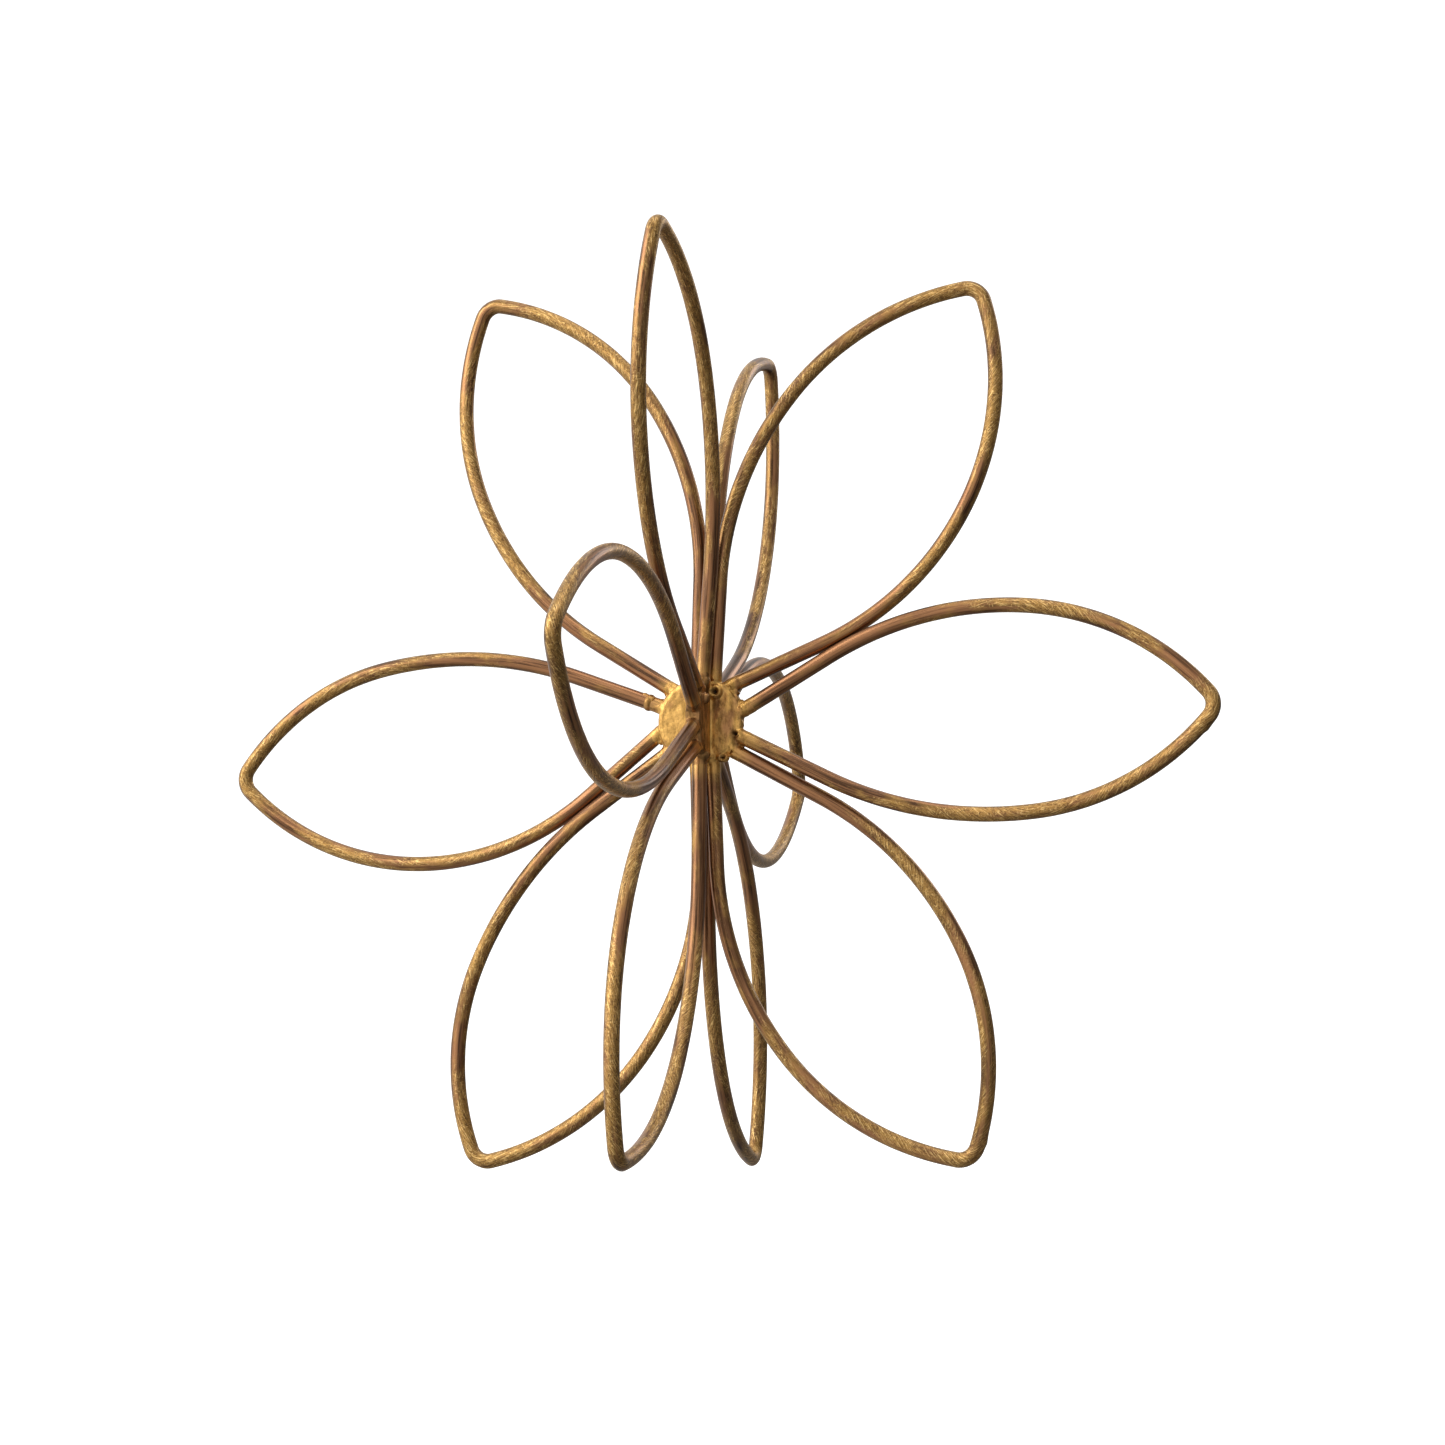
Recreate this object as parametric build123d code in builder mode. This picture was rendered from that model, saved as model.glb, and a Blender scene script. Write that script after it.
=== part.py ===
from build123d import *
import os
from math import atan2, cos, degrees, radians, sin

# A standing wire flower. Six leaf-shaped wire petals in the upright X-Z plane make the
# face flower. Six more in the upright Y-Z plane make the cross flower. Neighbouring
# petals run side by side along shared spokes into a small hub. Millimetres, +Z up.
# The origin is on the floor, under the hub. The front is -Y.

# Driving dimensions
wire_diameter = 3.0
petal_reach = 100.0  # hub centre to the wire's centreline at a petal's tip
foot_depth = 85.5  # the same, straight down, for the four petals it stands on
tip_bend_radius = 3.7
root_start = 5.2  # a wire's path starts this far along its spoke, and is then cut back
straight_run = 28.0  # how far the wires follow a spoke before they bend away
spoke_step = 60.0  # degrees between spokes, and between petals
tip_half_angle = 49.0  # degrees between a petal's axis and its wire beside the tip
flank_turn = 36.0  # degrees turned by the long bend next to the spoke
slant_offset = 2.3  # wire centreline to spoke centreline
face_upright_offset = 1.6  # the same in the upright spokes, for the face flower
front_upright_offset = 2.75  # the cross flower's wires nest outside those two
back_upright_offset = 2.95
back_shift = 0.8  # the back half of the cross flower is welded on this far to the right
standing_slope = 0.5  # petals that point down more steeply than this stand on the floor
hub_thickness = 3.2
disc_radius = 9.5
half_disc_radius = 8.5
web_reach = 2.0  # how far weld metal runs out between two petal roots
web_bite = 1.0  # how deep it runs into the wire on each side
web_thickness = 2.2
web_hollow_radius = 1.1  # its outer end is hollowed round
seam_width = 2.4  # weld metal up the four corners where the discs meet
seam_height = 13.0
wire_end_bead_radius = 2.1
wire_end_distance = 12.0  # the left petal's upper wire ends this far out

wire_radius = wire_diameter / 2
half_petal = spoke_step / 2
middle_heading = half_petal - flank_turn  # where a side's long bend meets its next one
shoulder_turn = middle_heading + tip_half_angle
spoke_run = straight_run - half_disc_radius
hub_height = foot_depth + wire_radius
hub_centre = Vector(0, 0, hub_height)

# Each petal by name: the angle of its axis, then how the maker's hand set it. Swing is
# within the flower's plane, lean is out of it, and twist is about the petal's own axis,
# in degrees. Angles turn from +X up to +Z in the face flower, and from the front, -Y, up
# to +Z in the cross flower. The last two say how far the roots of its left and right
# wires are pinched in towards its axis, in mm.
face_petals = {
    "face_petal_right": (0, -0.5, 2, -2, 0, -1.2),
    "face_petal_upper_right": (60, -3.5, -1, 1, 0, 1.4),
    "face_petal_upper_left": (120, -2, -3, -5, -0.2, 0),
    "face_petal_left": (180, 4.5, -3, -1, 1.3, -1.6),
    "face_petal_lower_left": (240, 1.5, 0, 2, 0, -1.1),
    "face_petal_lower_right": (300, 1, -2, 3, 0, 0),
}
cross_petals = {
    "cross_petal_front": (0, 1.5, -1, -4, 0, 0),
    "cross_petal_front_upper": (60, -0.5, -3, -4, 0, 0),
    "cross_petal_back_upper": (120, 3, 0.5, 2, 0, 0),
    "cross_petal_back": (180, 1.5, 3.5, 4, 0, 0),
    "cross_petal_back_lower": (240, -1.5, 2.7, -1, 0, 0),
    "cross_petal_front_lower": (300, 4, 0, 1, 0, 0),
}
slant_spokes = (30, 150, 210, 330)


def face_direction(angle):
    """The direction in the face flower's plane at an angle from +X."""
    return Vector(cos(radians(angle)), 0, sin(radians(angle)))


def cross_direction(angle):
    """The direction in the cross flower's plane at an angle from the front."""
    return Vector(0, -cos(radians(angle)), sin(radians(angle)))


def points_back(outward):
    """Whether a direction leads into the back half of the cross flower."""
    return outward.Y > 0


def flat_plane(direction, angle):
    """A plane through the hub in one flower: X runs outwards at the angle."""
    outward = direction(angle)
    centre = hub_centre
    if points_back(outward):
        centre += Vector(back_shift, 0, 0)
    return Plane(centre, outward, outward.cross(direction(angle + 90)))


def petal_plane(direction, angle, swing, lean, twist):
    """The plane that one petal was really set in. X runs out to its tip."""
    true = flat_plane(direction, angle + swing)
    outward = true.x_dir.rotate(Axis((0, 0, 0), true.y_dir), -lean)
    normal = outward.cross(true.y_dir).rotate(Axis((0, 0, 0), outward), twist)
    return Plane(true.origin, outward, normal)


def spoke_point(distance, offset):
    """A point this far along a petal's left spoke, set in towards the petal."""
    along = Vector(cos(radians(half_petal)), sin(radians(half_petal)))
    inset = Vector(sin(radians(half_petal)), -cos(radians(half_petal)))
    return along * distance + inset * offset


def bend_step(heading, turn):
    """How far a bend of unit radius carries the wire, turning right from a heading."""
    before, after = radians(heading), radians(heading - turn)
    return Vector(sin(before) - sin(after), cos(after) - cos(before))


def side_bends(heading, spoke_end, tip_joint):
    """The two bend radii that carry a side from its spoke's end to the tip bend."""
    flank = bend_step(heading, heading - middle_heading)
    shoulder = bend_step(middle_heading, shoulder_turn)
    way = tip_joint - spoke_end
    scale = flank.cross(shoulder).Z
    return way.cross(shoulder).Z / scale, flank.cross(way).Z / scale


def root_point(distance, offset, pinch):
    """A point on a side's straight run, which the pinch of its root turns a little."""
    return spoke_point(distance, offset + pinch * (straight_run - distance) / spoke_run)


def side_route(side, offset, pinch, reach):
    """One side of a petal in its plane: the spoke, two bends, up to the tip bend."""
    spoke_start = root_point(root_start, offset, pinch)
    spoke_end = spoke_point(straight_run, offset)
    heading = half_petal + degrees(atan2(pinch, spoke_run))
    tip_angle = radians(tip_half_angle)
    tip_centre = Vector(reach - tip_bend_radius, 0)
    tip_joint = tip_centre + Vector(sin(tip_angle), cos(tip_angle)) * tip_bend_radius
    flank_radius, shoulder_radius = side_bends(heading, spoke_end, tip_joint)
    middle = spoke_end + bend_step(heading, heading - middle_heading) * flank_radius

    def mirrored(point):
        return point.X, point.Y * side

    Line(mirrored(spoke_start), mirrored(spoke_end))
    RadiusArc(mirrored(spoke_end), mirrored(middle), flank_radius * side)
    RadiusArc(mirrored(middle), mirrored(tip_joint), shoulder_radius * side)
    return mirrored(tip_joint)


def spoke_offset(spoke, upright_offset):
    """Four wires share an upright spoke and only two share a slanting one."""
    return upright_offset if spoke % 180 == 90 else slant_offset


def petal_length(angle, lean):
    """A lower petal is as long as it takes for its tip to stand on the floor."""
    slope = sin(radians(-angle)) * cos(radians(lean))
    if slope < standing_slope:
        return petal_reach
    return tip_bend_radius + (foot_depth - tip_bend_radius) / slope


def make_petal(direction, setting, upright_offset, root_radius):
    """A leaf-shaped loop of round wire whose two ends stop at the hub's rim."""
    angle, swing, lean, twist, left_pinch, right_pinch = setting
    plane = petal_plane(direction, angle, swing, lean, twist)
    reach = petal_length(angle + swing, lean)
    with BuildPart() as petal:
        with BuildLine(plane) as route:
            left_offset = spoke_offset(angle + half_petal, upright_offset)
            right_offset = spoke_offset(angle - half_petal, upright_offset)
            left_joint = side_route(1, left_offset, left_pinch, reach)
            right_joint = side_route(-1, right_offset, right_pinch, reach)
            ThreePointArc(left_joint, (reach, 0), right_joint)
        with BuildSketch(Plane(route.wire() @ 0, z_dir=route.wire() % 0)):
            Circle(wire_radius)
        sweep()
        with BuildSketch(flat_plane(direction, angle)):
            Circle(root_radius)
        extrude(amount=wire_diameter * 2, both=True, mode=Mode.SUBTRACT)
        add(hub_disc.part, mode=Mode.SUBTRACT)
    return petal


def wire_centre(direction, setting, side, distance):
    """Where the centreline of a petal's left (1) or right (-1) wire is beside a slot."""
    angle, swing, lean, twist, left_pinch, right_pinch = setting
    pinch = left_pinch if side == 1 else right_pinch
    point = root_point(distance, slant_offset, pinch)
    plane = petal_plane(direction, angle, swing, lean, twist)
    return plane.from_local_coords((point.X, point.Y * side, 0))


def make_webs(direction, settings, rim_radius, neighbours):
    """Weld metal that closes the slots between petal roots on the four slanting spokes."""
    by_angle = {setting[0]: setting for setting in settings.values()}
    with BuildPart() as webs:
        for spoke in slant_spokes:
            plane = flat_plane(direction, spoke)
            before = by_angle[spoke - half_petal]
            after = by_angle[(spoke + half_petal) % 360]
            right = plane.to_local_coords(wire_centre(direction, before, 1, rim_radius))
            left = plane.to_local_coords(wire_centre(direction, after, -1, rim_radius))
            middle = (left.Y + right.Y) / 2
            width = left.Y - right.Y - wire_diameter + 2 * web_bite
            with BuildSketch(plane):
                with Locations((rim_radius - web_hollow_radius, middle)):
                    length = web_reach + web_hollow_radius
                    Rectangle(length, width, align=(Align.MIN, Align.CENTER))
                with Locations((rim_radius + web_reach, middle)):
                    Circle(web_hollow_radius, mode=Mode.SUBTRACT)
            extrude(amount=web_thickness / 2, both=True)
        for neighbour in neighbours:
            add(neighbour.part, mode=Mode.SUBTRACT)
    return webs


def finish(piece, name):
    """Labels a finished piece and writes it."""
    piece.part.label = name
    export_step(piece.part, f"parts/{name}.step")


os.makedirs("parts", exist_ok=True)

# The hub: one whole disc for the face flower, and a half disc of the cross flower
# standing on each of its faces.
with BuildPart() as hub_disc:
    with BuildSketch(flat_plane(face_direction, 0)):
        Circle(disc_radius)
    extrude(amount=hub_thickness / 2, both=True)

hub_halves = {}
for half_name, facing in {"hub_half_front": 0, "hub_half_back": 180}.items():
    with BuildPart() as hub_half:
        with BuildSketch(flat_plane(cross_direction, facing)):
            Circle(half_disc_radius)
            with Locations((hub_thickness / 2, 0)):
                width = 2 * half_disc_radius
                Rectangle(width, width, align=(Align.MAX, Align.CENTER), mode=Mode.SUBTRACT)
        extrude(amount=hub_thickness / 2, both=True)
    hub_halves[half_name] = hub_half

# The petals
petals = {}
for name, setting in face_petals.items():
    petals[name] = make_petal(face_direction, setting, face_upright_offset, disc_radius)
for name, setting in cross_petals.items():
    upright_offset = front_upright_offset
    if points_back(cross_direction(setting[0])):
        upright_offset = back_upright_offset
    petals[name] = make_petal(cross_direction, setting, upright_offset, half_disc_radius)

# The welds that hold it all together
face_webs = make_webs(
    face_direction, face_petals, disc_radius, [hub_disc, *petals.values()]
)
cross_webs = make_webs(
    cross_direction,
    cross_petals,
    half_disc_radius,
    [*hub_halves.values(), *petals.values()],
)

with BuildPart() as corner_welds:
    with BuildSketch(Plane.XY.offset(hub_height - seam_height / 2)):
        near = hub_thickness / 2
        far = near + seam_width
        for across, behind in [(1, 1), (1, -1), (-1, -1), (-1, 1)]:
            shift = back_shift if behind == 1 else 0
            corner = (across * near + shift, behind * near)
            along_disc = (across * far + shift, behind * near)
            along_half = (across * near + shift, behind * far)
            Polygon(corner, along_disc, along_half, align=None)
    extrude(amount=seam_height)

left_petal = face_petals["face_petal_left"]
inner, outer = [
    wire_centre(face_direction, left_petal, -1, distance)
    for distance in (0, wire_end_distance)
]
with BuildPart() as wire_end_weld:
    with Locations(Plane(outer, z_dir=outer - inner)):
        Sphere(wire_end_bead_radius)
    for neighbour in [face_webs, *petals.values()]:
        add(neighbour.part, mode=Mode.SUBTRACT)

finish(hub_disc, "hub_disc")
for name, hub_half in hub_halves.items():
    finish(hub_half, name)
for name, petal in petals.items():
    finish(petal, name)
finish(face_webs, "face_root_welds")
finish(cross_webs, "cross_root_welds")
finish(corner_welds, "hub_corner_welds")
finish(wire_end_weld, "wire_end_weld")
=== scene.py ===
from math import atan2, cos, degrees, exp, pi, radians, sin

import bmesh
import bpy
import numpy as np
from mathutils import Matrix, Vector, noise
from mathutils.kdtree import KDTree


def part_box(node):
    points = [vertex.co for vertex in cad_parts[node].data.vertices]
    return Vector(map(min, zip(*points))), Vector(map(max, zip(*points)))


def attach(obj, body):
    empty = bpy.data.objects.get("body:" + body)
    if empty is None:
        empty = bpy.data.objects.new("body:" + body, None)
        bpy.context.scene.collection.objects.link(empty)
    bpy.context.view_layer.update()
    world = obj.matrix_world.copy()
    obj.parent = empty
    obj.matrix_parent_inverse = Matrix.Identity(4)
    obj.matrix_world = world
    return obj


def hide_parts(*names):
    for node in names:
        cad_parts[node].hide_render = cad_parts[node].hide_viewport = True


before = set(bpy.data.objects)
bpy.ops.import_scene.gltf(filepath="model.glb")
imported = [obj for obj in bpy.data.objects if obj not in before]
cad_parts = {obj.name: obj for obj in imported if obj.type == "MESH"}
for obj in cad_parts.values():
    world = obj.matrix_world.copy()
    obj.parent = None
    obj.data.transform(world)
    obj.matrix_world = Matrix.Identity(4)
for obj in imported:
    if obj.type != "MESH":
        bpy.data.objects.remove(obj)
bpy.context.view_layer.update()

MM = 0.001

# ---------------------------------------------------------------- the design, in mm
# These repeat the part's driving dimensions. The wires themselves are made again here
# as finer meshes that carry coordinates along and around the wire for their finish.
WIRE_RADIUS = 1.5
PETAL_REACH = 100.0
FOOT_DEPTH = 85.5
TIP_BEND_RADIUS = 3.7
STRAIGHT_RUN = 28.0
TIP_HALF_ANGLE = 49.0
FLANK_TURN = 36.0
HALF_PETAL = 30.0
SLANT_OFFSET = 2.3
FACE_UPRIGHT_OFFSET = 1.6
FRONT_UPRIGHT_OFFSET = 2.75
BACK_UPRIGHT_OFFSET = 2.95
BACK_SHIFT = 0.8
STANDING_SLOPE = 0.5  # petals that point down more steeply than this stand on the floor
HUB_THICKNESS = 3.2
DISC_RADIUS = 9.5
HALF_DISC_RADIUS = 8.5
WIRE_END_DISTANCE = 12.0
FACE_ROOT = 8.0  # where the wires start inside the hub, along their spokes
CROSS_ROOT = 7.0
LONG_STEP = 1.0  # between centreline points, along the spokes and the long bends
TIP_STEP = 0.3

MIDDLE_HEADING = HALF_PETAL - FLANK_TURN
SHOULDER_TURN = MIDDLE_HEADING + TIP_HALF_ANGLE
SPOKE_RUN = STRAIGHT_RUN - HALF_DISC_RADIUS

# The angle, swing, lean and twist of each petal, in degrees, and how far the roots of its
# left and right wires are pinched in, in mm, as the part sets them
FACE_PETALS = {
    "face_petal_right": (0, -0.5, 2, -2, 0, -1.2),
    "face_petal_upper_right": (60, -3.5, -1, 1, 0, 1.4),
    "face_petal_upper_left": (120, -2, -3, -5, -0.2, 0),
    "face_petal_left": (180, 4.5, -3, -1, 1.3, -1.6),
    "face_petal_lower_left": (240, 1.5, 0, 2, 0, -1.1),
    "face_petal_lower_right": (300, 1, -2, 3, 0, 0),
}
CROSS_PETALS = {
    "cross_petal_front": (0, 1.5, -1, -4, 0, 0),
    "cross_petal_front_upper": (60, -0.5, -3, -4, 0, 0),
    "cross_petal_back_upper": (120, 3, 0.5, 2, 0, 0),
    "cross_petal_back": (180, 1.5, 3.5, 4, 0, 0),
    "cross_petal_back_lower": (240, -1.5, 2.7, -1, 0, 0),
    "cross_petal_front_lower": (300, 4, 0, 1, 0, 0),
}
SLANT_SPOKES = (30, 150, 210, 330)

low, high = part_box("hub_disc")
HUB = (low + high) / 2 / MM


# ---------------------------------------------------------------- the wires' routes
def face_direction(angle):
    """The direction in the face flower's plane at an angle from +X."""
    return Vector((cos(radians(angle)), 0, sin(radians(angle))))


def cross_direction(angle):
    """The direction in the cross flower's plane at an angle from the front, -Y."""
    return Vector((0, -cos(radians(angle)), sin(radians(angle))))


def points_back(outward):
    """Whether a direction leads into the back half of the cross flower."""
    return outward.y > 0


def flower_centre(outward):
    """The back half of the cross flower is welded on a little to the right."""
    return HUB + Vector((BACK_SHIFT if points_back(outward) else 0, 0, 0))


def petal_axes(direction, angle, swing, lean, twist):
    """The petal's outward, sideways and normal directions."""
    outward = direction(angle + swing)
    sideways = direction(angle + swing + 90)
    outward = Matrix.Rotation(radians(-lean), 3, sideways) @ outward
    normal = Matrix.Rotation(radians(twist), 3, outward) @ outward.cross(sideways)
    return outward, normal.cross(outward), normal


def bend_step(heading, turn):
    """How far a bend of unit radius carries the wire, turning right from a heading."""
    before, after = radians(heading), radians(heading - turn)
    return Vector((sin(before) - sin(after), cos(after) - cos(before)))


def spoke_point(distance, offset):
    """A point this far along a petal's left spoke, set in towards the petal."""
    along = Vector((cos(radians(HALF_PETAL)), sin(radians(HALF_PETAL))))
    inset = Vector((sin(radians(HALF_PETAL)), -cos(radians(HALF_PETAL))))
    return along * distance + inset * offset


def bend_points(start, heading, turn, radius, step):
    """Points along a right-hand bend, without its start."""
    count = max(2, round(radians(turn) * radius / step))
    return [start + bend_step(heading, turn * i / count) * radius for i in range(1, count + 1)]


def side_points(offset, pinch, reach, root):
    """One side of a petal in its plane, from the hub to the middle of its tip."""
    spoke_end = spoke_point(STRAIGHT_RUN, offset)
    start = spoke_point(root, offset + pinch * (STRAIGHT_RUN - root) / SPOKE_RUN)
    tip_angle = radians(TIP_HALF_ANGLE)
    joint = Vector((reach - TIP_BEND_RADIUS, 0))
    joint += Vector((sin(tip_angle), cos(tip_angle))) * TIP_BEND_RADIUS
    heading = HALF_PETAL + degrees(atan2(pinch, SPOKE_RUN))
    flank_turn = heading - MIDDLE_HEADING
    flank = bend_step(heading, flank_turn)
    shoulder = bend_step(MIDDLE_HEADING, SHOULDER_TURN)
    way = joint - spoke_end
    scale = flank.cross(shoulder)
    flank_radius = way.cross(shoulder) / scale
    shoulder_radius = flank.cross(way) / scale

    count = round((STRAIGHT_RUN - root) / LONG_STEP)
    points = [start.lerp(spoke_end, i / count) for i in range(count + 1)]
    bends = (
        (heading, flank_turn, flank_radius, LONG_STEP),
        (MIDDLE_HEADING, SHOULDER_TURN, shoulder_radius, LONG_STEP),
        (-TIP_HALF_ANGLE, 90 - TIP_HALF_ANGLE, TIP_BEND_RADIUS, TIP_STEP),
    )
    for bend_heading, turn, radius, step in bends:
        points += bend_points(points[-1], bend_heading, turn, radius, step)
    return points


def petal_length(angle, lean):
    """A lower petal is as long as it takes for its tip to stand on the floor."""
    slope = sin(radians(-angle)) * cos(radians(lean))
    if slope < STANDING_SLOPE:
        return PETAL_REACH
    return TIP_BEND_RADIUS + (FOOT_DEPTH - TIP_BEND_RADIUS) / slope


def petal_route(direction, setting, upright_offset, root):
    """A petal's centreline as points in space, and the petal's normal."""
    angle, swing, lean, twist, left_pinch, right_pinch = setting
    outward, sideways, normal = petal_axes(direction, angle, swing, lean, twist)
    reach = petal_length(angle + swing, lean)
    flat = []
    for side, pinch in ((1, left_pinch), (-1, right_pinch)):
        upright = (angle + HALF_PETAL * side) % 180 == 90
        offset = upright_offset if upright else SLANT_OFFSET
        points = [(p.x, p.y * side) for p in side_points(offset, pinch, reach, root)]
        flat += points if side == 1 else points[-2::-1]
    centre = flower_centre(direction(angle))
    points = [centre + outward * x + sideways * y for x, y in flat]
    return points, normal


routes = {}
for name, setting in FACE_PETALS.items():
    routes[name] = petal_route(face_direction, setting, FACE_UPRIGHT_OFFSET, FACE_ROOT)
for name, setting in CROSS_PETALS.items():
    at_back = points_back(cross_direction(setting[0]))
    upright_offset = BACK_UPRIGHT_OFFSET if at_back else FRONT_UPRIGHT_OFFSET
    routes[name] = petal_route(cross_direction, setting, upright_offset, CROSS_ROOT)


# ---------------------------------------------------------------- node helpers
def new_material(name):
    material = bpy.data.materials.new(name)
    material.use_nodes = True
    nodes = material.node_tree.nodes
    return material, nodes, material.node_tree.links, nodes["Principled BSDF"]


def attribute(nodes, name, output="Fac"):
    node = nodes.new("ShaderNodeAttribute")
    node.attribute_name = name
    return node.outputs[output]


def scaled(nodes, links, vector, scale):
    node = nodes.new("ShaderNodeMapping")
    node.inputs["Scale"].default_value = scale
    links.new(vector, node.inputs["Vector"])
    return node.outputs["Vector"]


def noise_of(nodes, links, vector, scale, detail=3.0, roughness=0.55):
    node = nodes.new("ShaderNodeTexNoise")
    node.inputs["Scale"].default_value = scale
    node.inputs["Detail"].default_value = detail
    node.inputs["Roughness"].default_value = roughness
    links.new(vector, node.inputs["Vector"])
    return node.outputs["Fac"]


def ramp(nodes, links, value, low_stop, high_stop, low_out=0.0, high_out=1.0):
    node = nodes.new("ShaderNodeMapRange")
    node.interpolation_type = "SMOOTHSTEP"
    node.inputs["From Min"].default_value = low_stop
    node.inputs["From Max"].default_value = high_stop
    node.inputs["To Min"].default_value = low_out
    node.inputs["To Max"].default_value = high_out
    links.new(value, node.inputs["Value"])
    return node.outputs["Result"]


def math(nodes, links, operation, first, second):
    node = nodes.new("ShaderNodeMath")
    node.operation = operation
    for socket, value in zip(node.inputs, (first, second)):
        if isinstance(value, (int, float)):
            socket.default_value = value
        else:
            links.new(value, socket)
    return node.outputs["Value"]


# A Mix node has sockets of one name for each kind of data: these are the colour ones
MIX_INPUTS = (0, 6, 7)
MIX_RESULT = 2


def mix(nodes, links, factor, first, second):
    node = nodes.new("ShaderNodeMix")
    node.data_type = "RGBA"
    for place, value in zip(MIX_INPUTS, (factor, first, second)):
        socket = node.inputs[place]
        if isinstance(value, (int, float, tuple)):
            socket.default_value = value
        else:
            links.new(value, socket)
    return node.outputs[MIX_RESULT]


def bump(nodes, links, height, distance, strength, normal=None):
    node = nodes.new("ShaderNodeBump")
    node.inputs["Distance"].default_value = distance
    node.inputs["Strength"].default_value = strength
    links.new(height, node.inputs["Height"])
    if normal is not None:
        links.new(normal, node.inputs["Normal"])
    return node.outputs["Normal"]


# ---------------------------------------------------------------- the antique finish
SHADOW_BROWN = (0.016, 0.007, 0.003, 1)
BRONZE = (0.070, 0.030, 0.011, 1)
COPPER_BROWN = (0.38, 0.175, 0.075, 1)
OLD_GOLD = (0.46, 0.255, 0.065, 1)
RUBBED_GOLD = (0.88, 0.58, 0.22, 1)
HUB_GOLD = (0.80, 0.46, 0.13, 1)


def wire_material():
    """Dark bronze, drawn lengthwise, then rubbed back to gold in patches of short strokes, with
    painted shade where wires lie close together.
    """
    material, nodes, links, shader = new_material("antique_wire")
    unrolled = attribute(nodes, "unrolled", "Vector")
    slanted = attribute(nodes, "slanted", "Vector")
    outness = attribute(nodes, "outness")
    crevice_shade = attribute(nodes, "crevice_shade")

    def layer(coordinates, around, along, detail, roughness=0.55):
        place = scaled(nodes, links, coordinates, (around, around, along))
        return noise_of(nodes, links, place, 1.0, detail, roughness)

    bands = layer(unrolled, 1.1, 0.035, 3)
    drawn = layer(unrolled, 5.0, 0.10, 3)
    cloud = layer(unrolled, 0.5, 0.25, 4)
    patches = layer(unrolled, 0.30, 0.055, 2)
    strokes = layer(slanted, 5.0, 0.55, 3, 0.6)
    hairlines = layer(slanted, 11.0, 0.8, 2)
    filed = layer(unrolled, 1.6, 3.6, 3)
    specks = layer(unrolled, 4.5, 2.2, 2)

    # More is rubbed through on the outer part of a petal than down by the hub
    reach = ramp(nodes, links, outness, 0.12, 0.80, -0.13, 0.09)
    worn = math(nodes, links, "ADD", patches, reach)
    clouded = math(nodes, links, "ADD", worn, math(nodes, links, "MULTIPLY", cloud, 0.6))
    wash = ramp(nodes, links, clouded, 0.68, 0.98)
    rubbed = ramp(nodes, links, worn, 0.42, 0.60)

    base = mix(nodes, links, ramp(nodes, links, bands, 0.36, 0.62), BRONZE, COPPER_BROWN)
    base = mix(nodes, links, ramp(nodes, links, drawn, 0.50, 0.66, 0.0, 0.55), base, COPPER_BROWN)
    base = mix(nodes, links, ramp(nodes, links, drawn, 0.48, 0.34, 0.0, 0.55), base, BRONZE)
    color = mix(nodes, links, math(nodes, links, "MULTIPLY", wash, 0.8), base, OLD_GOLD)
    root = math(nodes, links, "MULTIPLY", ramp(nodes, links, outness, 0.135, 0.09), drawn)
    color = mix(nodes, links, root, color, HUB_GOLD)
    dark = math(nodes, links, "MULTIPLY", ramp(nodes, links, specks, 0.52, 0.64), rubbed)
    gouged = math(nodes, links, "MULTIPLY", ramp(nodes, links, strokes, 0.46, 0.34), rubbed)
    dark = math(nodes, links, "MAXIMUM", dark, gouged)
    color = mix(nodes, links, math(nodes, links, "MULTIPLY", dark, 0.7), color, BRONZE)
    stroked = math(nodes, links, "MULTIPLY", ramp(nodes, links, strokes, 0.54, 0.66), rubbed)
    scraped = math(nodes, links, "MULTIPLY", ramp(nodes, links, filed, 0.58, 0.70), rubbed)
    stroked = math(nodes, links, "MAXIMUM", stroked, math(nodes, links, "MULTIPLY", scraped, 0.7))
    glint = ramp(nodes, links, hairlines, 0.66, 0.76, 0.0, 0.35)
    stroked = math(nodes, links, "MAXIMUM", stroked, glint)
    color = mix(nodes, links, stroked, color, RUBBED_GOLD)
    # Painted shade darkens each wire where another wire lies close beside it
    color = mix(nodes, links, math(nodes, links, "MULTIPLY", crevice_shade, 0.85), color, SHADOW_BROWN)
    links.new(color, shader.inputs["Base Color"])
    shader.inputs["Metallic"].default_value = 0.85
    links.new(ramp(nodes, links, wash, 0.0, 1.0, 0.30, 0.42), shader.inputs["Roughness"])
    shader.inputs["Coat Weight"].default_value = 0.15
    shader.inputs["Coat Roughness"].default_value = 0.25
    normal = bump(nodes, links, drawn, 0.00006, 0.5)
    normal = bump(nodes, links, math(nodes, links, "MULTIPLY", strokes, rubbed), 0.00012, 0.6, normal)
    normal = bump(nodes, links, cloud, 0.00015, 0.3, normal)
    links.new(normal, shader.inputs["Normal"])
    return material


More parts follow.
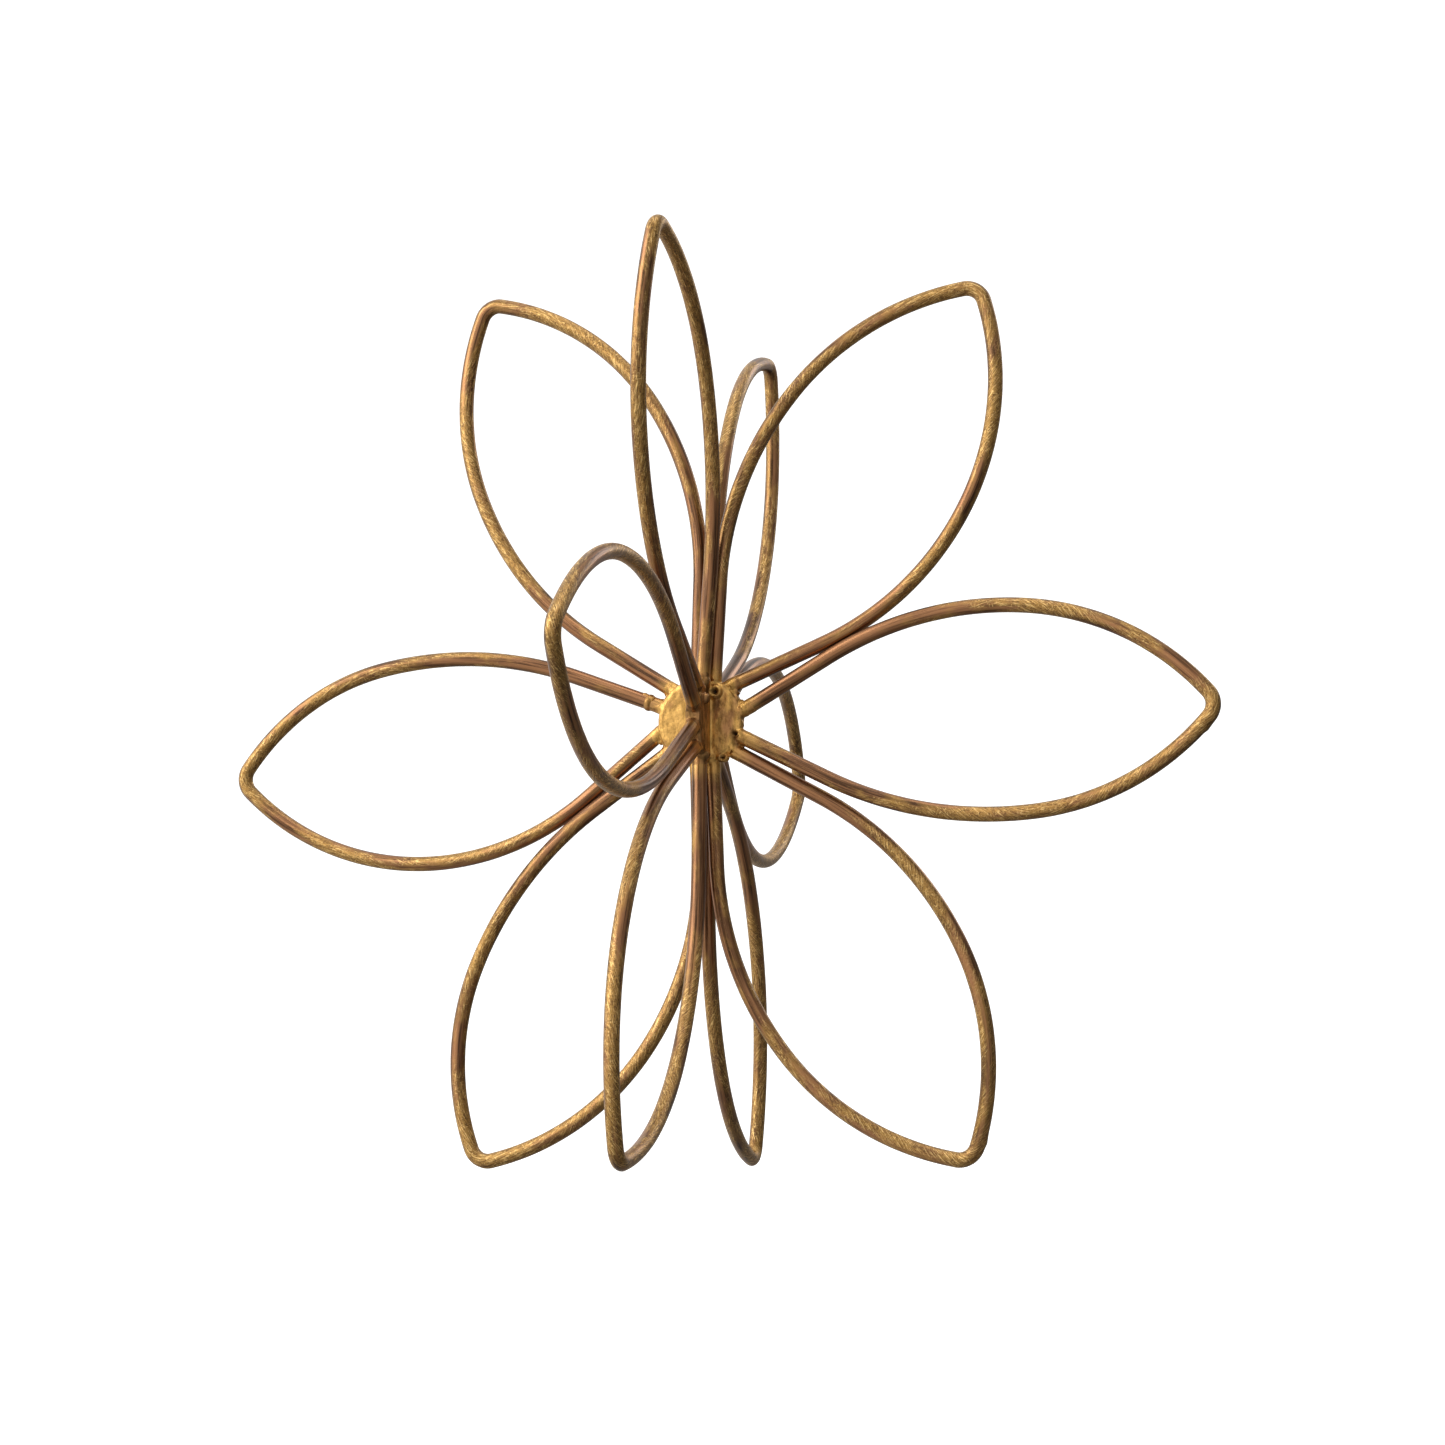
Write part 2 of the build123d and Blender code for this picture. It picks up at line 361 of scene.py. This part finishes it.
def hub_material():
    """Mottled gold, pitted, browner on the half discs, on the right and out to the wires, with
    painted shade in the pits.
    """
    material, nodes, links, shader = new_material("hub_gold")
    position = attribute(nodes, "place", "Vector")
    pit = attribute(nodes, "pit")
    browned = attribute(nodes, "browned")
    cloud = noise_of(nodes, links, position, 0.25, 4)
    upright = scaled(nodes, links, position, (1.0, 1.0, 0.4))
    mottle = noise_of(nodes, links, upright, 0.9, 4, 0.6)
    grain = noise_of(nodes, links, position, 5.0, 3, 0.6)
    specks = noise_of(nodes, links, position, 3.0, 2)
    color = mix(nodes, links, ramp(nodes, links, mottle, 0.38, 0.62), OLD_GOLD, HUB_GOLD)
    color = mix(nodes, links, ramp(nodes, links, grain, 0.52, 0.74, 0.0, 0.4), color, RUBBED_GOLD)
    color = mix(nodes, links, ramp(nodes, links, cloud, 0.50, 0.70, 0.0, 0.6), color, COPPER_BROWN)
    color = mix(nodes, links, ramp(nodes, links, specks, 0.60, 0.74, 0.0, 0.4), color, BRONZE)
    brown = mix(nodes, links, ramp(nodes, links, mottle, 0.35, 0.65), BRONZE, COPPER_BROWN)
    color = mix(nodes, links, browned, color, brown)
    # Painted shade darkens the pits
    color = mix(nodes, links, pit, color, SHADOW_BROWN)
    links.new(color, shader.inputs["Base Color"])
    shader.inputs["Metallic"].default_value = 0.85
    links.new(ramp(nodes, links, mottle, 0.3, 0.7, 0.46, 0.34), shader.inputs["Roughness"])
    normal = bump(nodes, links, grain, 0.00005, 0.4)
    normal = bump(nodes, links, mottle, 0.00015, 0.4, normal)
    links.new(normal, shader.inputs["Normal"])
    return material


# ---------------------------------------------------------------- mesh helpers
def clamped(value):
    """The value, held between 0 and 1."""
    return max(0.0, min(1.0, value))


def add_object(name, data):
    """A new object in the scene that holds this mesh, light or camera."""
    added = bpy.data.objects.new(name, data)
    bpy.context.scene.collection.objects.link(added)
    return added


def finished_mesh(builder, name):
    """The builder's faces as a new mesh, which uses the builder up."""
    mesh = bpy.data.meshes.new(name)
    builder.to_mesh(mesh)
    builder.free()
    return mesh


def add_skin(builder, rings, capped=True):
    """Faces through rings of vertices, with a flat cap at each end if it is capped."""
    for first, second in zip(rings, rings[1:]):
        for k in range(len(first)):
            n = (k + 1) % len(first)
            builder.faces.new((first[k], second[k], second[n], first[n]))
    if capped:
        builder.faces.new(rings[0])
        builder.faces.new(reversed(rings[-1]))


def add_vectors(mesh, name, values):
    layer = mesh.attributes.new(name, "FLOAT_VECTOR", "POINT")
    layer.data.foreach_set("vector", np.asarray(values, np.float32).ravel())


def add_floats(mesh, name, values):
    layer = mesh.attributes.new(name, "FLOAT", "POINT")
    layer.data.foreach_set("value", np.asarray(values, np.float32).ravel())


# ---------------------------------------------------------------- the wire petals
RING_SIDES = 28
STROKE_SLANT = 0.5  # the steepest strokes, in radians round the wire for each mm along it
SEED_STEP = 437.0  # mm of unrolled wire between one petal's finish and the next
FINISH_RADIUS = 1.5  # of the unrolled wire, in mm
SLANT_WANDER = 0.035  # how fast the strokes' slant changes, for each mm along the wire
SLANT_GAIN = 2.4
WIRE_SLIMNESS = 0.985  # keeps the uneven wire inside the part's box
RADIUS_WANDER = 0.012
DENT_DEPTH = 0.008  # both as a share of the radius
CREVICE_GAP = 2.1  # mm from another wire's centreline where its painted shade begins
CREVICE_DEPTH = 0.55

# Small burrs on the outside of a petal: how far past its tip each one is, in mm
BURRS = {"face_petal_right": 4.6, "face_petal_lower_right": -4.2}
BURR_LENGTH = 0.7
BURR_HEIGHT = 0.16


def wire_tree(skip):
    """All the other petals' centreline points, to find where wires lie close together."""
    points = [p for name, (route, _) in routes.items() if name != skip for p in route]
    tree = KDTree(len(points))
    for index, point in enumerate(points):
        tree.insert(point, index)
    tree.balance()
    return tree


def wire_lengths(points):
    """How far along the wire each of its points is."""
    lengths = [0.0]
    for before, after in zip(points, points[1:]):
        lengths.append(lengths[-1] + (after - before).length)
    return lengths


def stroke_turns(lengths, index):
    """How far slanting strokes have wound round the wire at each point, in radians."""
    turns = [0.0]
    for before, length in zip(lengths, lengths[1:]):
        lean = noise.noise(Vector((length * SLANT_WANDER, index * 3.7, 5.0))) * SLANT_GAIN
        slant = STROKE_SLANT * max(-1.0, min(1.0, lean))
        turns.append(turns[-1] + slant * (length - before))
    return turns


def uneven_radius(length, index):
    """The wire's radius at a distance along it."""
    wander = noise.noise(Vector((length * 0.08, index * 7.3, 0)))
    return WIRE_RADIUS * (WIRE_SLIMNESS + RADIUS_WANDER * wander)


def burr_height(name, past_tip):
    """How far a burr stands out this far past the tip, as a share of the radius."""
    if name not in BURRS:
        return 0.0
    gone = (past_tip - BURRS[name]) / BURR_LENGTH
    return BURR_HEIGHT * exp(-gone * gone)


def make_wire(name, index, material):
    """One petal: a closed tube along its route, with its finish's coordinates."""
    points, normal = routes[name]
    last = len(points) - 1
    lengths = wire_lengths(points)
    turns = stroke_turns(lengths, index)
    others = wire_tree(name)
    builder = bmesh.new()
    rings = []
    unrolled, slanted, outness, crevice_shade = [], [], [], []
    for i, point in enumerate(points):
        along = (points[min(i + 1, last)] - points[max(i - 1, 0)]).normalized()
        across = normal.cross(along)
        radius = uneven_radius(lengths[i], index)
        burr = burr_height(name, lengths[i] - lengths[last] / 2)
        place = lengths[i] + index * SEED_STEP
        ring = []
        for k in range(RING_SIDES):
            angle = 2 * pi * k / RING_SIDES
            out = across * cos(angle) + normal * sin(angle)
            dent = DENT_DEPTH * noise.noise(point * 0.35 + out * 0.9 + Vector((0, index, 0)))
            spot = point + out * radius * (1 + dent + burr * max(0.0, cos(angle)) ** 3)
            ring.append(builder.verts.new(spot * MM))
            for coordinates, turned in ((unrolled, angle), (slanted, angle + turns[i])):
                x, y = cos(turned) * FINISH_RADIUS, sin(turned) * FINISH_RADIUS
                coordinates.append((x, y, place))
            outness.append((point - HUB).length / PETAL_REACH)
            # How far this spot lies in the painted shade between close wires
            _, _, gap = others.find(spot)
            crevice_shade.append(clamped((CREVICE_GAP - gap) / CREVICE_DEPTH))
        rings.append(ring)
    add_skin(builder, rings)
    bmesh.ops.recalc_face_normals(builder, faces=builder.faces)
    mesh = finished_mesh(builder, name + "_wire")
    for polygon in mesh.polygons:
        polygon.use_smooth = len(polygon.vertices) == 4
    add_vectors(mesh, "unrolled", unrolled)
    add_vectors(mesh, "slanted", slanted)
    add_floats(mesh, "outness", outness)
    add_floats(mesh, "crevice_shade", crevice_shade)
    mesh.materials.append(material)
    wire = add_object(name + "_wire", mesh)
    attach(wire, "root")
    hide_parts(name)


# ---------------------------------------------------------------- the hub
HUB_VOXEL = 0.15
FACE_DISC_EDGE = 8.6  # the face disc's rim is filed back between the wires
FACE_DISC_SHIFT = -0.6  # and more so on the right
FACE_DISC_SUNK = 0.15  # each face lies this far below the part's, to blend into the wires
RIM_ROUNDING = 0.7
# The slices that round a rim: how far each is inset, and how far it is lowered
RIM_SLICES = ((0.0, 1.0), (0.29, 0.29), (1.0, 0.0))
RIM_SIDES = 96


def add_tube(builder, start, end, start_radius, end_radius, sides=24):
    """A tapered rod with capped ends."""
    along = (end - start).normalized()
    across = along.orthogonal().normalized()
    up = along.cross(across)
    turns = [2 * pi * k / sides for k in range(sides)]
    spokes = [across * cos(turn) + up * sin(turn) for turn in turns]
    rings = [
        [builder.verts.new(centre + spoke * radius) for spoke in spokes]
        for centre, radius in ((start, start_radius), (end, end_radius))
    ]
    add_skin(builder, rings)


def add_disc(builder, centre, axis, radius):
    """A disc of three overlapping slices, which round its rim over."""
    half = HUB_THICKNESS / 2 - FACE_DISC_SUNK
    for inset, drop in RIM_SLICES:
        reach = half - RIM_ROUNDING * drop
        size = radius - RIM_ROUNDING * inset
        add_tube(builder, centre - axis * reach, centre + axis * reach, size, size, RIM_SIDES)


def add_half_disc(builder, centre, side):
    """Half a cross disc, of slices like a whole one, in front (-1) or behind (1)."""
    half = HUB_THICKNESS / 2
    steps = RIM_SIDES // 2
    turns = [radians(-90 + 180 * k / steps) for k in range(steps + 1)]
    for inset, drop in RIM_SLICES:
        reach = half - RIM_ROUNDING * drop
        radius = HALF_DISC_RADIUS - RIM_ROUNDING * inset
        outline = [(side * radius * cos(t), radius * sin(t)) for t in turns]
        rings = [
            [builder.verts.new(centre + Vector((x, y, z))) for y, z in outline]
            for x in (-reach, reach)
        ]
        add_skin(builder, rings)


def add_lump(builder, centre, radii, axis=Vector((0, 0, 1))):
    """A lump of weld metal, whose third radius lies along the axis."""
    turn = axis.to_track_quat("Z", "Y").to_matrix().to_4x4()
    shape = Matrix.Translation(centre) @ turn @ Matrix.Diagonal((*radii, 1))
    bmesh.ops.create_icosphere(builder, subdivisions=4, radius=1.0, matrix=shape)


# Lumps of weld metal and pits in it, in mm from the hub's centre
LUMPS = [
    ((1.0, -3.2, 7.5), (1.3, 1.1, 1.3)),
    ((1.7, -5.0, 3.9), (1.0, 1.0, 1.1)),
    ((2.7, -1.5, 5.6), (1.5, 1.0, 1.5)),
    ((-0.5, -8.3, 1.8), (0.9, 0.9, 0.8)),
    ((0.2, -8.2, -1.6), (0.9, 0.9, 1.0)),
    ((1.0, -3.4, -6.9), (1.2, 1.2, 1.0)),
    ((4.2, -1.2, -7.5), (1.3, 0.9, 0.9)),
    ((-1.4, 2.8, 6.6), (1.5, 1.3, 1.5)),
    ((1.2, 2.6, -6.4), (1.5, 1.4, 1.6)),
    ((0.2, 8.1, 0.5), (1.1, 1.2, 1.4)),
    ((7.4, -0.6, -0.9), (0.9, 0.9, 1.2)),
]
PITS = [
    ((2.8, -2.4, 5.6), 0.95),
    ((2.3, -2.2, -6.3), 0.8),
    ((4.2, -2.0, -7.3), 0.75),
    ((6.6, -1.9, -2.7), 0.7),
    ((-3.2, 1.9, 4.6), 0.8),
    ((3.4, 1.9, -3.6), 0.7),
]
PIT_DEPTH = 0.9
PIT_STEEPNESS = 1.5
BEAD_PIT_RADIUS = 0.8

# Each stretch of a wire's root: where it starts and ends along the wire, and its radii there
ROOT_STRETCHES = ((-2.4, 0.0, 1.1, 1.5), (0.0, 1.9, 1.53, 1.52), (1.9, 4.0, 1.52, 1.36))

WEB_REACH = {30: -1.0, 150: -0.1, 210: -0.1, 330: -1.0}  # weld metal past the disc, by spoke
WEB_POINT = 3  # a web is centred between its two wires at this point of their routes
WEB_SPREAD = 0.6  # how much of the way from wire to wire its outer rods are apart
WEB_OVERLAP = 4.0  # how far it starts inside that point
WEB_RADIUS = 1.0


def add_roots(builder):
    """The start of every wire, a little swollen where it is brazed into the hub."""
    for points, _ in routes.values():
        for root in (points, points[::-1]):
            along = (root[1] - root[0]).normalized()
            for start, end, start_radius, end_radius in ROOT_STRETCHES:
                ends = (root[0] + along * start, root[0] + along * end)
                add_tube(builder, *ends, start_radius, end_radius)


def add_webs(builder):
    """Weld metal that closes the slots between wires on the slanting spokes."""
    for petals, direction, radius in (
        (FACE_PETALS, face_direction, DISC_RADIUS),
        (CROSS_PETALS, cross_direction, HALF_DISC_RADIUS),
    ):
        names = {setting[0]: name for name, setting in petals.items()}
        for spoke in SLANT_SPOKES:
            right = routes[names[spoke - HALF_PETAL]][0][WEB_POINT]
            left = routes[names[(spoke + HALF_PETAL) % 360]][0][-1 - WEB_POINT]
            middle = (right + left) / 2
            along = direction(spoke)
            out = radius + WEB_REACH[spoke] - (middle - HUB).dot(along)
            for share in (-0.5, 0.0, 0.5):
                start = middle + (left - right) * share * WEB_SPREAD - along * WEB_OVERLAP
                end = start + along * (WEB_OVERLAP + out + abs(share))
                add_tube(builder, start, end, WEB_RADIUS, WEB_RADIUS)


def add_wire_end(builder):
    """The knot of weld metal on the left petal's upper wire. Returns where its pit is."""
    upper_wire = routes["face_petal_left"][0][::-1]
    wire_end = upper_wire[round(WIRE_END_DISTANCE - FACE_ROOT)]
    along = (upper_wire[9] - upper_wire[0]).normalized()
    add_lump(builder, wire_end, (1.72, 1.72, 1.3), along)
    add_lump(builder, wire_end - along * 0.8 + Vector((0, -0.7, 0.7)), (0.8, 0.8, 0.9), along)
    add_lump(builder, wire_end + along * 0.9 + Vector((0, -0.4, 1.0)), (0.7, 0.7, 0.8), along)
    return wire_end - along * 1.9 + Vector((0, -1.3, 0.6))


def build_rough_hub():
    """Discs, wire roots, webs and weld metal as one loose mesh in mm, and the bead's pit."""
    builder = bmesh.new()
    backward = Vector((0, 1, 0))
    add_disc(builder, HUB + Vector((FACE_DISC_SHIFT, 0, 0)), backward, FACE_DISC_EDGE)
    add_half_disc(builder, HUB, -1)
    add_half_disc(builder, flower_centre(backward), 1)
    add_roots(builder)
    add_webs(builder)
    for centre, radii in LUMPS:
        add_lump(builder, HUB + Vector(centre), radii)
    bead_pit = add_wire_end(builder)
    return finished_mesh(builder, "hub_rough"), bead_pit


def run_together(mesh):
    """Melts the overlapping shapes into one closed skin."""
    rough = add_object("hub_rough", mesh)
    remesh = rough.modifiers.new("remesh", "REMESH")
    remesh.mode = "VOXEL"
    remesh.voxel_size = HUB_VOXEL
    smooth = rough.modifiers.new("smooth", "SMOOTH")
    smooth.factor = 0.5
    smooth.iterations = 8
    graph = bpy.context.evaluated_depsgraph_get()
    melted = bpy.data.meshes.new_from_object(rough.evaluated_get(graph))
    bpy.data.objects.remove(rough)
    bpy.data.meshes.remove(mesh)
    melted.name = "hub_casting"
    return melted


def pit_depth(spot, pits):
    """How deep in a pit a spot is, from 0 to 1."""
    deepest = max(1 - (spot - centre).length / radius for centre, radius in pits)
    return clamped(deepest * PIT_STEEPNESS)


def unevenness(spot):
    """How far the casting's skin swells at a spot, in mm. It fades out along the wires."""
    fade = clamped((11.5 - spot.length) / 3.0)
    return fade * (noise.noise(spot * 0.7) * 0.07 + noise.noise(spot * 2.0) * 0.03)


def browning(spot):
    """How brown the hub is at a spot, in mm from its centre, from 0 to 1."""
    out_to_wire = clamped((spot.length - 10.0 + 1.6 * noise.noise(spot * 0.9)) / 2.0)
    on_half_disc = clamped((abs(spot.y) - 2.2 + noise.noise(spot * 0.6)) / 1.2)
    on_right = clamped((spot.x - 1.0) / 2.0)
    streak = 0.35 + 0.9 * noise.noise(Vector((spot.x * 0.8, 3.0, spot.z * 0.22)))
    # Browner towards the right, in upright streaks
    browner_on_right = on_right * min(0.8, clamped(streak))
    return max(0.55 * out_to_wire, 0.75 * on_half_disc, browner_on_right)


def make_hub(material):
    """Discs, wire roots and weld metal run together as one brazed casting."""
    rough, bead_pit = build_rough_hub()
    mesh = run_together(rough)
    pits = [(Vector(centre), radius) for centre, radius in PITS]
    pits.append((bead_pit - HUB, BEAD_PIT_RADIUS))
    place, pit, browned = [], [], []
    normals = [v.normal.copy() for v in mesh.vertices]
    for vertex, normal in zip(mesh.vertices, normals):
        spot = vertex.co - HUB
        depth = pit_depth(spot, pits)
        vertex.co += normal * (unevenness(spot) - PIT_DEPTH * depth)
        place.append(spot)
        # The pit's depth also sets how much painted shade it holds
        pit.append(depth)
        browned.append(browning(spot))
    for vertex in mesh.vertices:
        vertex.co *= MM
    mesh.update()
    mesh.shade_smooth()
    add_vectors(mesh, "place", place)
    add_floats(mesh, "pit", pit)
    add_floats(mesh, "browned", browned)
    mesh.materials.clear()
    mesh.materials.append(material)
    hub = add_object("hub_casting", mesh)
    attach(hub, "root")
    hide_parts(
        "hub_disc",
        "hub_half_front",
        "hub_half_back",
        "face_root_welds",
        "cross_root_welds",
        "hub_corner_welds",
        "wire_end_weld",
    )


# ---------------------------------------------------------------- the studio
CAMERA_LENS = 77.4
CAMERA_FROM_HUB = Vector((0.1619, -0.5836, -0.0813))
CAMERA_TURN = 15.16  # degrees to the left of straight back
CAMERA_TILT = 7.63  # degrees upwards
CAMERA_ROLL = -0.22


def make_floor():
    """A pale floor that curves up all round into a low wall."""
    flat_radius, curve_radius, wall_height = 1.3, 0.6, 1.4
    profile = [(0.05, 0.0), (0.4, 0.0)]
    steps = 24
    for i in range(steps + 1):
        angle = pi / 2 * i / steps
        profile.append((flat_radius + curve_radius * sin(angle), curve_radius * (1 - cos(angle))))
    profile.append((flat_radius + curve_radius, wall_height))
    builder = bmesh.new()
    sides = 96
    centre = builder.verts.new((0, 0, 0))
    rings = []
    turns = [2 * pi * k / sides for k in range(sides)]
    for radius, height in profile:
        ring = [(radius * cos(turn), radius * sin(turn), height) for turn in turns]
        rings.append([builder.verts.new(place) for place in ring])
    for k in range(sides):
        builder.faces.new((centre, rings[0][k], rings[0][(k + 1) % sides]))
    add_skin(builder, rings, capped=False)
    mesh = finished_mesh(builder, "floor")
    mesh.shade_smooth()
    material, nodes, links, shader = new_material("pale_floor")
    shader.inputs["Base Color"].default_value = (0.9, 0.9, 0.9, 1)
    shader.inputs["Roughness"].default_value = 0.9
    shader.inputs["Emission Color"].default_value = (1, 1, 1, 1)
    shader.inputs["Emission Strength"].default_value = 0.6
    mesh.materials.append(material)
    floor = add_object("floor", mesh)
    # The metal mirrors the soft room instead of this lit surface
    floor.visible_glossy = False
    floor.visible_diffuse = False


def add_light(name, place, size, power, aim):
    data = bpy.data.lights.new(name, "AREA")
    data.shape = "RECTANGLE"
    data.size, data.size_y = size
    data.energy = power
    light = add_object(name, data)
    light.location = place
    light.rotation_euler = (Vector(aim) - Vector(place)).to_track_quat("-Z", "Y").to_euler()


def add_camera():
    """Low in front and a little to the right, looking slightly up at the hub."""
    data = bpy.data.cameras.new("camera")
    data.sensor_width = 36.0
    data.lens = CAMERA_LENS
    data.clip_start = 0.002
    camera = add_object("camera", data)
    camera.location = HUB * MM + CAMERA_FROM_HUB
    turn = Matrix.Rotation(radians(CAMERA_TURN), 3, "Z")
    tilt = Matrix.Rotation(radians(90 + CAMERA_TILT), 3, "X")
    roll = Matrix.Rotation(radians(CAMERA_ROLL), 3, "Z")
    camera.rotation_euler = (turn @ tilt @ roll).to_euler()
    bpy.context.scene.camera = camera


def light_studio():
    """A big soft key from the left, two weak fills, and a room that dims to the right."""
    middle = (0, 0, 0.09)
    add_light("key", (-0.78, -0.56, 0.59), (0.8, 0.8), 6.0, middle)
    add_light("top", (0.1, -0.1, 1.2), (0.6, 0.6), 2.0, middle)
    add_light("back", (0.5, 1.0, 0.7), (0.5, 0.5), 1.5, middle)
    world = bpy.data.worlds.new("studio")
    world.use_nodes = True
    nodes, links = world.node_tree.nodes, world.node_tree.links
    toward = nodes.new("ShaderNodeTexCoord")
    facing = nodes.new("ShaderNodeVectorMath")
    facing.operation = "DOT_PRODUCT"
    facing.inputs[1].default_value = (-0.76, -0.35, 0.55)
    links.new(toward.outputs["Generated"], facing.inputs[0])
    strength = ramp(nodes, links, facing.outputs["Value"], -0.9, 0.9, 0.16, 1.08)
    background = nodes["Background"]
    background.inputs["Color"].default_value = (1, 1, 1, 1)
    links.new(strength, background.inputs["Strength"])
    bpy.context.scene.world = world


# ---------------------------------------------------------------- the scene
wire_finish = wire_material()
for index, name in enumerate(routes):
    make_wire(name, index, wire_finish)
make_hub(hub_material())
make_floor()
light_studio()
add_camera()
bpy.context.scene.view_settings.view_transform = "Standard"
